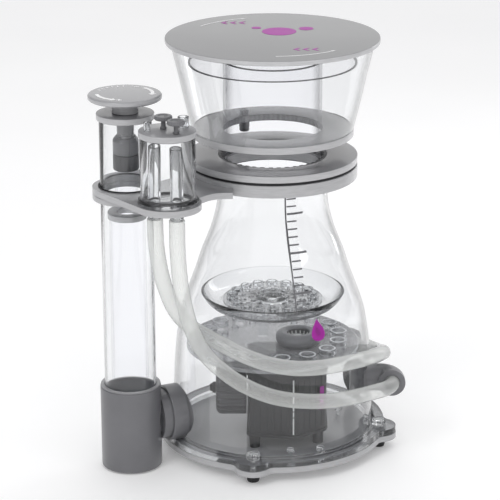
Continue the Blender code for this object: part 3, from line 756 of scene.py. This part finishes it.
def build_inside():
    spots = [polar(84.0, -82.0 + 22.5 * k) for k in range(16)]
    holes = [circle(*spot, 8.0, 32) for spot in spots]
    holes.append(circle(*OUTLET, 16.2, 48))
    plate("bubble_sheet", circle(0.0, 0.0, 107.0, SEG), 116.0, 121.0, "plate", "skimmer",
          ("bubble_plate",), holes, 0.5)
    lathe_all("bubble_collars", ring(8.1, 10.6, 121.2, 128.0), "cast", spots, 40, 0.6)
    # Light rings on the collar tops and round the plate edge: painted glints.
    bm = bmesh.new()
    for spot in spots:
        add_lathe(bm, rounded(ring(8.3, 10.4, 128.1, 129.0), 0.3), spot, 40)
    add_lathe(bm, rounded(ring(107.05, 108.0, 116.2, 120.8), 0.3), None, SEG)
    make("bubble_glint_rings", bm, "milky", "skimmer")
    spots = [polar(62.0, 12.0 + 360.0 * k / 14.0) for k in range(14)]
    spots = [spot for spot in spots if (Vector(spot) - Vector(OUTLET)).length > 36.0]
    lathe_all("bubble_nozzles", ring(3.0, 4.6, 121.2, 124.2), "cast", spots, 24, 0.4)
    for number in (1, 2, 3):
        lathe(f"clear_post_{number}", disc(5.0, 7.6, 115.7), "thin", "skimmer",
              (f"plate_post_{number}",), centre_of(f"plate_post_{number}"), 32, 0.8)
    bowl = [(14.0, 168.0), (70.0, 168.0), (78.0, 172.0), (84.5, 179.0), (89.5, 188.0),
            (86.6, 188.6), (81.8, 180.2), (76.0, 174.2), (69.2, 170.6), (14.0, 170.6)]
    lathe("bowl_clear", bowl, "inner_glass", "skimmer", ("diffuser_bowl",), edge=2.5)
    holes = [circle(0.0, 0.0, 18.0, 48)]
    for radius, count, size in ((27.0, 12, 3.6), (38.0, 14, 4.6), (51.0, 18, 5.4)):
        holes += [circle(*polar(radius, 360.0 * k / count + radius), size, 20)
                  for k in range(count)]
    plate("diffuser_sheet", circle(0.0, 0.0, 62.0, 96), 174.0, 177.0, "cast", "skimmer",
          ("diffuser_plate",), holes, 0.4)
    bm = bmesh.new()
    for k in range(18):
        add_lathe(bm, rounded(ring(5.6, 7.2, 177.1, 181.0), 0.4),
                  polar(51.0, 20.0 * k + 51.0), 24)
    add_lathe(bm, rounded(ring(18.2, 21.0, 177.1, 183.5), 0.5), None, 64)
    make("diffuser_collars", bm, "cast", "skimmer")
    square = [(-18.0, 6.0), (-6.0, 6.0), (-6.0, 18.0), (-18.0, 18.0)]
    plate("bowl_peg", rounded(square, 1.5), 121.2, 167.8, "cast", "skimmer", ("bowl_post",),
          bevel=0.6)


# ---- pump
PUMP_OUTLINE = ((-32, -78), (-29, -84), (22, -94), (29, -93), (65, -67), (68, -60),
                (68, 2), (60, 14), (-24, 14), (-32, 6))


def shrink(outline, amount):
    cx = sum(p[0] for p in outline) / len(outline)
    cy = sum(p[1] for p in outline) / len(outline)
    made = []
    for x, y in outline:
        d = Vector((x - cx, y - cy))
        d = d * (1.0 - amount / d.length)
        made.append((cx + d.x, cy + d.y))
    return made


def build_pump():
    body = rounded([(float(x), float(y)) for x, y in PUMP_OUTLINE], 5.0, 4)
    bm = bmesh.new()
    add_prism(bm, shrink(body, 1.6), 29.0, 104.0)
    make("pump_case", bm, "pump", "skimmer", ("pump_block",), bevel=1.2)
    plate("pump_top_rim", body, 104.2, 111.8, "pump", "skimmer", bevel=1.2)
    plate("pump_sole", body, 25.0, 28.8, "pump", "skimmer", bevel=1.0)
    bm = bmesh.new()
    for a, b, count in (((-29.0, -84.0), (22.0, -94.0), 6), ((29.0, -93.0), (65.0, -67.0), 5)):
        start = Vector(a)
        way = (Vector(b) - start)
        out = Vector((way.y, -way.x)).normalized()
        for k in range(count):
            middle = start + way * (k + 0.5) / count - out * 1.4
            half = way.normalized() * 1.1
            loop = [middle - half - out, middle + half - out, middle + half + out,
                    middle - half + out]
            add_prism(bm, [tuple(p) for p in loop], 33.0, 100.0)
    make("pump_ribs", bm, "pump", "skimmer", bevel=0.4)
    # White strips down the pump's front corner: a painted glint standing in for the highlight on
    # that edge.
    bm = bmesh.new()
    for z0, z1 in ((31.0, 52.0), (54.0, 60.0), (62.0, 102.0)):
        add_prism(bm, [(24.6, -94.6), (26.4, -94.6), (26.4, -91.0), (24.6, -91.0)], z0, z1)
    make("pump_painted_glint", bm, "white", "skimmer", bevel=0.3)
    # Small purple strip on the pump's right front facet: a painted purple reflection, not a label.
    bm = bmesh.new()
    start = Vector((29.0, -93.0)).lerp(Vector((65.0, -67.0)), 0.8)
    way = Vector((36.0, 26.0)).normalized()
    out = Vector((way.y, -way.x))
    add_prism(bm, [tuple(start), tuple(start + way * 6.0), tuple(start + way * 6.0 + out * 0.8),
                   tuple(start + out * 0.8)][::-1], 56.0, 86.0)
    make("pump_purple_reflection", bm, "purple", "skimmer", bevel=0.2)
    legs = ((-22.0, -74.0), (56.0, -60.0), (56.0, 4.0), (-22.0, 4.0))
    lathe_all("pump_legs", disc(6.5, 7.4, 24.9), "rubber", legs, 32, 1.0)
    motor = [(0.0, 0.0), (28.0, 0.0), (31.0, 2.0), (33.0, 5.0), (33.0, 37.4), (0.0, 37.4)]

    def fins(radius, height, angle):
        return radius - (1.4 if radius > 30.0 and math.sin(24.0 * angle) > 0.2 else 0.0)

    lathe("pump_motor_end", motor, "motor", "skimmer", ("pump_motor",),
          along((-70.0, -36.0, 71.0), (1.0, 0.0, 0.0)), 192, 1.2, fins)
    gland = [(0.0, 0.0), (4.6, 0.0), (5.4, 3.0), (7.0, 3.4), (7.0, 7.6), (0.0, 7.6)]
    lathe("cable_inlet", gland, "rubber", "skimmer", ("cable_gland",),
          along((-77.9, -36.0, 71.0), (1.0, 0.0, 0.0)), 48, 0.5)
    volute = [(10.0, 112.1), (15.8, 112.1), (15.8, 121.4), (24.0, 121.4), (27.5, 124.5),
              (28.5, 130.0), (26.5, 135.0), (21.0, 137.0), (15.0, 136.5), (13.5, 134.0),
              (21.0, 132.5), (21.5, 125.0), (10.0, 124.0)]
    lathe("volute_ring", volute, "pvc", "skimmer", ("pump_volute",), OUTLET, 96, 1.6)
    bm = bmesh.new()
    add_lathe(bm, rounded(disc(17.2, 125.6, 126.8), 0.3), OUTLET, 64)
    add_lathe(bm, rounded(disc(4.5, 126.9, 131.0), 0.4), OUTLET, 32)
    for ring_r, count in ((8.5, 10), (12.0, 14), (15.4, 18)):
        for k in range(count):
            x, y = polar(ring_r, 360.0 * k / count)
            add_lathe(bm, disc(0.7, 126.9, 131.3), (OUTLET[0] + x, OUTLET[1] + y), 10)
    make("pin_wheel", bm, "white", "pump_rotor", ("impeller",))
    out = Vector((*polar(1.0, 34.0), 0.0))
    strainer = [(0.0, 0.0), (19.0, 0.0), (19.0, 2.0), (23.0, 3.0), (23.0, 18.0), (21.0, 20.2),
                (0.0, 20.2)]

    def slots(radius, height, angle):
        return radius - (2.6 if radius > 20.0 and math.sin(20.0 * angle) > 0.0 else 0.0)

    lathe("strainer_cage", strainer, "pump", "skimmer", ("intake_strainer",),
          along((*(out * 125.7).xy, 41.0), out), 160, 0.6, slots)
    bolt = [(0.0, 7.4), (2.4, 7.4), (2.4, 13.5), (5.0, 13.5), (5.0, 17.5), (3.8, 18.6),
            (0.0, 18.6)]
    for number, spot in enumerate(((22.0, -106.0), (58.0, -99.0), (84.0, 30.0)), 1):
        lathe(f"hold_down_{number}", bolt, "cast", "skimmer", at=spot, segments=40, edge=0.5)


def sweep(name, path, r_out, r_in, mat, replaced, segments=48):
    """Pipe with a bore along a path in a level plane."""
    bm = bmesh.new()
    points = [Vector(p) for p in path]
    up = Vector((0.0, 0.0, 1.0))
    outer, inner = [], []
    for i, point in enumerate(points):
        tangent = (points[min(i + 1, len(points) - 1)] - points[max(i - 1, 0)]).normalized()
        side = tangent.cross(up).normalized()
        for rows, radius in ((outer, r_out), (inner, r_in)):
            turns = [2 * math.pi * k / segments for k in range(segments)]
            rows.append([bm.verts.new(row(*(point + (side * math.cos(turn)
                                                     + up * math.sin(turn)) * radius)))
                         for turn in turns])
    strips = list(zip(outer, outer[1:])) + list(zip(inner, inner[1:]))
    strips += [(outer[0], inner[0]), (outer[-1], inner[-1])]
    for first, second in strips:
        for k in range(segments):
            j = (k + 1) % segments
            bm.faces.new((first[k], first[j], second[j], second[k]))
    return make(name, bm, mat, "skimmer", replaced, bevel=0.7)


def elbow_path(x_start, x_bend, y_axis, drop, height):
    bend = 14.0
    path = [(x_start, y_axis, height), (x_bend - bend, y_axis, height)]
    for k in range(1, 17):
        angle = math.pi / 2.0 * k / 16.0
        path.append((x_bend - bend + bend * math.sin(angle),
                     y_axis - bend + bend * math.cos(angle), height))
    path.append((x_bend, y_axis - drop, height))
    return path


def build_elbows():
    sweep("air_elbow_right", elbow_path(96.0, ELBOW_X, ELBOW_Y, 21.0, ELBOW_Z), ELBOW_R, 10.2,
          "pvc", ("air_elbow",))
    path = [tuple(REAR_TURN @ Vector(p)) for p in elbow_path(100.0, REAR_X, 0.0, 21.0, REAR_Z)]
    sweep("air_elbow_back", path, ELBOW_R, 10.2, "pvc", ("rear_air_elbow",))
    nut = ring(ELBOW_R + 0.5, ELBOW_R + 3.6, 0.0, 3.0)
    lathe("elbow_nut_right", nut, "pvc", "skimmer",
          at=along((115.0, ELBOW_Y, ELBOW_Z), (-1.0, 0.0, 0.0)), segments=72)
    lathe("elbow_nut_back", nut, "pvc", "skimmer",
          at=along((*polar(118.0, REAR_ANGLE), REAR_Z), (*polar(-1.0, REAR_ANGLE), 0.0)),
          segments=72)


# ---- standpipe
def build_standpipe():
    loop = [(28.0, -11.2), (37.2, -11.2), (37.2, 92.6), (31.9, 92.6), (31.9, 60.0),
            (28.0, 60.0)]
    tee = lathe("tee_body", loop, "pvc", "skimmer", ("outlet_tee",), PIPE, 96, 1.3)
    way = -Vector(PIPE).normalized()
    start = Vector(PIPE)

    def spot(distance):
        return (*(start + way * distance), 47.0)

    carve(tee, tool(spot(33.0), spot(84.0), 31.0, 96), "UNION")
    carve(tee, tool(spot(10.0), spot(90.0), 24.0, 64))
    carve(tee, tool((0.0, 0.0, 0.0), (0.0, 0.0, 110.0), 125.5, 256))
    lathe("tee_socket", ring(31.05, 34.6, 44.0, 64.2), "pvc", "skimmer",
          at=along((*PIPE, 47.0), (way.x, way.y, 0.0)), segments=96, edge=1.1)
    lathe("tee_mouth", ring(31.95, 36.6, 92.65, 94.6), "pvc_mid", "skimmer", at=PIPE, segments=96,
          edge=0.5)
    lathe("clear_standpipe", ring(29.0, 31.5, 60.3, 429.2), "wall", "skimmer", ("standpipe",),
          PIPE, 96, 0.3)
    lathe("standpipe_cap", ring(11.2, 34.6, 429.5, 436.9), "mid", "skimmer", ("pipe_cap",),
          PIPE, 96, 0.8)


def build_regulator():
    wheel = [(0.0, 437.2), (15.7, 437.2), (15.7, 453.2), (42.5, 453.2), (44.0, 454.8),
             (44.0, 458.4), (42.6, 460.0), (40.4, 460.3), (0.0, 460.3)]
    lathe("hand_wheel", wheel, "light", "wheel", ("regulator_wheel",), PIPE, SEG, 0.6)
    def thread(radius, height, angle):
        turn = (height - 375.0) / 3.0 - angle / (2.0 * math.pi)
        cut = 0.9 * abs(2.0 * (turn % 1.0) - 1.0)
        return radius - (cut if 0.5 < radius and 376.0 < height < 412.0 else 0.0)

    fine_stem = [(0.0, 375.0), (10.0, 375.0)]
    fine_stem += [(10.7, 375.8 + 0.5 * k) for k in range(74)]
    fine_stem += [(10.7, 436.0), (10.2, 436.9), (0.0, 436.9)]
    lathe("lead_screw", fine_stem, "pvc_mid", "wheel", ("regulator_stem",), PIPE, 48, 0.0,
          thread)
    nut = [(11.1, 385.6), (15.0, 385.6), (16.0, 386.6), (16.0, 401.4), (12.6, 405.4),
           (11.1, 405.4)]
    lathe("travel_nut", nut, "pvc", "sleeve", ("regulator_nut",), PIPE, 96, 0.4)
    lathe("travel_nut_skirt", ring(11.1, 16.0, 366.6, 385.2), "motor", "sleeve",
          at=PIPE, segments=96, edge=0.8, radius_of=knurl(40, 0.35))
    lathe("sleeve_neck", ring(12.0, 14.0, 314.3, 366.3), "thin", "sleeve", ("sleeve_upper",),
          PIPE, 64, 0.3)
    lathe("sleeve_disc", ring(12.0, 24.0, 307.0, 314.0), "mid", "sleeve",
          ("sleeve_shoulder",), PIPE, 72, 0.7)
    lathe("sleeve_tube", ring(20.0, 22.0, 100.0, 306.7), "thin", "sleeve", ("sleeve_lower",),
          PIPE, 64, 0.3)
    build_wheel_marks()


def flat_mark(bm, outline, at, z, thick=0.18):
    add_prism(bm, [(at[0] + x, at[1] + y) for x, y in outline], z, z + thick)


def bar(x, y, half_x, half_y):
    """Rectangle about a point, as a flat outline."""
    return [(x - half_x, y - half_y), (x + half_x, y - half_y), (x + half_x, y + half_y),
            (x - half_x, y + half_y)]


def arc_arrow(radius, width, start, end, head):
    """Curved arrow as a flat outline, head at the end angle (degrees)."""
    steps = 14
    outer = [polar(radius + width / 2.0, start + (end - start) * k / steps)
             for k in range(steps + 1)]
    inner = [polar(radius - width / 2.0, end + (start - end) * k / steps)
             for k in range(steps + 1)]
    tip = [polar(radius + width * 1.15, end), polar(radius, end + head),
           polar(radius - width * 1.15, end)]
    return outer + tip + inner


def build_wheel_marks():
    bm = bmesh.new()
    flat_mark(bm, arc_arrow(33.0, 4.2, 190.0, 245.0, 10.0), PIPE, WHEEL_PRINT)
    flat_mark(bm, arc_arrow(33.0, 4.2, 50.0, -5.0, -10.0), PIPE, WHEEL_PRINT)
    for angle, plus in ((262.0, True), (68.0, False)):
        x, y = polar(33.0, angle)
        flat_mark(bm, bar(x, y, 3.2, 0.8), PIPE, WHEEL_PRINT)
        if plus:
            flat_mark(bm, bar(x, y, 0.8, 3.2), PIPE, WHEEL_PRINT + 0.02)
    for k in range(6):
        inner = Vector(polar(30.5, 96.0 + 12.0 * k))
        outer = Vector(polar(36.0, 96.0 + 12.0 * k))
        side = Vector((inner.y, -inner.x)).normalized() * 0.6
        tick = (inner - side, outer - side, outer + side, inner + side)
        flat_mark(bm, [tuple(corner) for corner in tick][::-1], PIPE, WHEEL_PRINT)
    make("wheel_print", bm, "print", "wheel", smooth=20.0)


# ---- bracket and silencer
def bracket_outline():
    px, py = PIPE
    sx, sy = SILENCER
    points = []
    for k in range(33):
        angle = math.radians(96.0 + (218.0 - 96.0) * k / 32.0)
        points.append((px + 41.0 * math.cos(angle), py + 41.0 * math.sin(angle)))
    for k in range(41):
        angle = math.radians(218.0 + (385.0 - 218.0) * k / 40.0)
        points.append((sx + 39.0 * math.cos(angle), sy + 39.0 * math.sin(angle)))
    points += [(-76.0, -120.0), (-69.5, -115.0), (-64.0, -112.5), (-56.0, -111.3),
               (-47.0, -111.0)]
    for k in range(33):
        points.append(polar(104.4, 243.2 - (243.2 - 192.0) * k / 32.0))
    points += [(-121.0, -24.0), (-136.0, -29.8), (-150.0, -34.0)]
    return points


def build_bracket():
    holes = [circle(*PIPE, 31.9, 96)]
    plate("bracket_plate", bracket_outline(), 339.3, 347.0, "light", "skimmer", ("bracket",),
          holes, 0.9)
    lathe("clamp_ring", ring(31.9, 41.0, 332.0, 339.0), "light", "skimmer",
          ("bracket_clamp",), PIPE, 96, 0.9)
    lathe("pipe_gasket", ring(31.9, 34.0, 347.1, 348.4), "rubber", "skimmer", at=PIPE, segments=96,
          edge=0.4)


def build_silencer():
    base = [(16.0, 347.2), (36.1, 347.2), (36.1, 350.6), (34.4, 352.3), (29.0, 352.3),
            (16.0, 352.3)]
    lathe("silencer_foot", base, "cast", "skimmer", ("silencer_base",), SILENCER, 96, 0.6)
    lathe("silencer_wall", ring(30.0, 32.5, 352.5, 426.4), "wall", "skimmer",
          ("silencer_tube",), SILENCER, 96, 0.3)
    lathe("silencer_seal", ring(26.8, 29.8, 352.4, 354.6), "rubber", "skimmer", at=SILENCER,
          segments=96, edge=0.6)
    lathe("silencer_top", [(0.0, 426.6), (33.7, 426.6), (33.7, 434.0), (0.0, 434.0)], "light",
          "skimmer", ("silencer_cap",), SILENCER, 96, 0.9)
    for number, spot in enumerate(PORTS, 1):
        port = [(4.2, 327.0), (7.4, 327.0), (8.2, 328.0), (8.2, 330.6), (7.2, 331.4),
                (8.2, 332.2), (8.2, 336.0), (7.0, 337.0), (7.0, 339.0), (4.2, 339.0)]
        lathe(f"hose_port_{number}", port, "cast", "skimmer", (f"air_port_{number}",), spot,
              48, 0.3)
        lathe(f"inner_pipe_{number}", ring(5.6, 7.6, 352.6, 412.0), "inner_glass", "skimmer",
              (f"silencer_pipe_{number}",), spot, 48, 0.5)
    knob = [(0.0, 434.3), (3.9, 434.3), (3.9, 436.2), (2.7, 437.0), (2.7, 444.6), (9.6, 444.9),
            (10.6, 446.0), (10.6, 448.9), (9.8, 450.0), (6.4, 450.0), (5.6, 449.2),
            (0.0, 449.2)]
    for number, spot in enumerate(VALVES, 1):
        lathe(f"valve_knob_{number}", knob, "pvc", f"valve_{number}", (f"air_valve_{number}",),
              spot, 96, 0.35, knurl(24, 0.5))
        bm = bmesh.new()
        flat_mark(bm, [(1.0, -0.7), (7.6, -0.7), (7.6, 0.7), (1.0, 0.7)], spot, 449.25, 0.9)
        make(f"valve_pointer_{number}", bm, "pvc_mid", f"valve_{number}", smooth=20.0)
    lathe("vent_left", ring(2.4, 3.8, 434.1, 445.0), "cast", "skimmer", ("silencer_vent_1",),
          VENTS[0], 40, 0.4)
    lathe("vent_right", ring(4.6, 6.6, 434.1, 446.0), "cast", "skimmer", ("silencer_vent_2",),
          VENTS[1], 48, 0.5)


# ---- cup and lid
def build_cup():
    lathe("collar", ring(66.6, 104.0, 355.8, 364.3), "mid", "collar", ("lock_ring",),
          edge=0.9)
    riser_low, riser_high = (corner.z / MM - AXIS.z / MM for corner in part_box("riser"))
    lathe("riser_tube", ring(57.4, 60.4, riser_low, riser_high), "riser", "cup", ("riser",),
          edge=0.5)
    lathe("riser_lip", ring(58.0, 60.45, riser_high - 1.4, riser_high + 0.05), "tick", "cup",
          edge=0.3)
    lathe("skirt_lip", ring(100.0, 102.7, 478.9, 480.0), "tick", "lid", edge=0.3)
    lathe("cup_lip", ring(121.2, 123.6, 503.2, 504.3), "pvc_mid", "cup", edge=0.2)
    lathe("bayonet_ring", ring(60.95, 66.5, 356.4, 363.7), "motor", "collar", segments=384,
          edge=0.3, radius_of=lambda r, h, a: r + (2.2 if r < 62.0 and math.sin(40 * a) > 0
                                                  else 0.0))
    trough = [(60.7, 389.5), (99.0, 389.5), (99.0, 398.0), (60.7, 398.0), (60.7, 396.4),
              (60.7, 391.1)]

    def ribs(radius, height, angle):
        if radius < 62.0 and 390.4 < height < 397.2:
            return radius + 1.3 * (0.5 + 0.5 * math.cos(64.0 * angle))
        return radius

    bm = bmesh.new()
    add_lathe(bm, rounded(trough, 0.7), None, 512, ribs)
    floor = make("trough_floor", bm, "mid", "cup", ("cup_floor",))
    carve(floor, tool((*DRAIN, 385.0), (*DRAIN, 402.0), 4.0, 32))
    nipple = [(4.0, 377.0), (5.4, 377.0), (6.5, 379.0), (5.8, 381.6), (6.5, 382.0), (6.5, 389.2),
              (4.0, 389.2)]
    lathe("drain_stub", nipple, "pvc", "cup", ("drain_nipple",), DRAIN, 48, 0.4)
    lathe("drain_collar", ring(4.2, 6.3, 398.2, 405.0), "milky", "cup", at=DRAIN, segments=40,
          edge=0.4)
    lathe("cup_clear_wall", shell_loop(CUP_FINE, 2.5), "wall", "cup", ("cup_wall",), edge=0.0)
    lathe("lid_plate", [(0.0, 504.5), (130.0, 504.5), (130.0, 510.2), (0.0, 510.2)], "lid",
          "lid", ("lid",), edge=1.1)
    lathe("lid_skirt_clear", ring(100.1, 102.6, 479.0, 504.3), "thin", "lid", ("lid_skirt",),
          edge=0.5)
    build_lid_marks()


def build_lid_marks():
    """Generic print on the lid: three bubbles and two rows of turn arrows."""
    bm = bmesh.new()
    for x, y, r in ((-4.0, -4.0, 21.0), (29.0, 12.0, 9.0), (-32.0, 16.0, 6.0)):
        flat_mark(bm, circle(x, y, r, 64), (12.0, 30.0), LID_PRINT)
    for base_x, base_y in ((-64.0, 74.0), (24.0, -68.0)):
        for k in range(3):
            x = base_x + 11.0 * k
            flat_mark(bm, [(x, base_y), (x + 6.0, base_y - 6.5), (x + 8.6, base_y - 6.5),
                           (x + 4.2, base_y), (x + 8.6, base_y + 6.5), (x + 6.0, base_y + 6.5)],
                      (0.0, 0.0), LID_PRINT)
    make("lid_print", bm, "purple", "lid", smooth=20.0)
    bm = bmesh.new()
    flat_mark(bm, arc_arrow(104.0, 1.4, 148.0, 112.0, -4.0), (0.0, 0.0), LID_PRINT)
    flat_mark(bm, arc_arrow(104.0, 1.4, -88.0, -48.0, 4.0), (0.0, 0.0), LID_PRINT)
    make("lid_arrows", bm, "print", "lid", smooth=20.0)


# ---- stage and light
def build_stage():
    bm = bmesh.new()
    bmesh.ops.create_grid(bm, x_segments=1, y_segments=1, size=14.0)
    floor = add_mesh("floor", bm)
    floor.location = (0.0, 0.0, -0.0002)
    mat, tree, out = new_material("studio_floor")
    shader = node(tree, "ShaderNodeBsdfPrincipled", Roughness=0.8, Emission__Strength=0.16)
    shader.inputs["Emission Color"].default_value = (1.0, 1.0, 1.0, 1.0)
    cloud = noise(tree, 2.0)
    tree.links.new(ramp(tree, cloud, ((0.3, (0.90, 0.90, 0.90)), (0.7, (0.93, 0.93, 0.93)))),
                   shader.inputs["Base Color"])
    tree.links.new(shader.outputs["BSDF"], out.inputs["Surface"])
    floor.data.materials.append(mat)


def area_light(name, location, target, size, energy, shape_y=None):
    data = bpy.data.lights.new(name, "AREA")
    data.energy = energy
    data.size = size
    if shape_y:
        data.shape = "RECTANGLE"
        data.size_y = shape_y
    light = add_object(name, data)
    light.location = location
    aim = Vector(target) - Vector(location)
    light.rotation_euler = aim.to_track_quat("-Z", "Y").to_euler()


def build_light():
    world = bpy.data.worlds.new("studio")
    bpy.context.scene.world = world
    world.use_nodes = True
    tree = world.node_tree
    background = tree.nodes["Background"]
    coord = tree.nodes.new("ShaderNodeTexCoord")
    split = tree.nodes.new("ShaderNodeSeparateXYZ")
    tree.links.new(coord.outputs["Generated"], split.inputs["Vector"])
    across = node(tree, "ShaderNodeMath", _operation="ABSOLUTE")
    tree.links.new(split.outputs["X"], across.inputs[0])
    tree.links.new(ramp(tree, across.outputs[0],
                        ((0.0, (1.0, 1.0, 1.0)), (0.5, (0.94, 0.94, 0.95)),
                         (0.8, (0.20, 0.20, 0.22)))), background.inputs["Color"])
    background.inputs["Strength"].default_value = 0.92
    area_light("key", (-1.5, -1.9, 2.3), (0.0, 0.0, 0.25), 0.9, 16.0)
    area_light("fill", (2.1, -1.4, 1.5), (0.0, 0.0, 0.25), 0.7, 5.0)
    area_light("top", (0.2, 0.9, 2.6), (0.0, 0.0, 0.3), 1.6, 7.0)
    area_light("strip", (1.1, 1.1, 0.9), (0.0, 0.0, 0.3), 0.35, 4.0, 1.5)
    bpy.context.scene.view_settings.view_transform = "Standard"


make_camera()
make_hoses()
build_base()
build_body()
build_inside()
build_pump()
build_elbows()
build_standpipe()
build_regulator()
build_bracket()
build_silencer()
build_cup()
build_stage()
build_light()
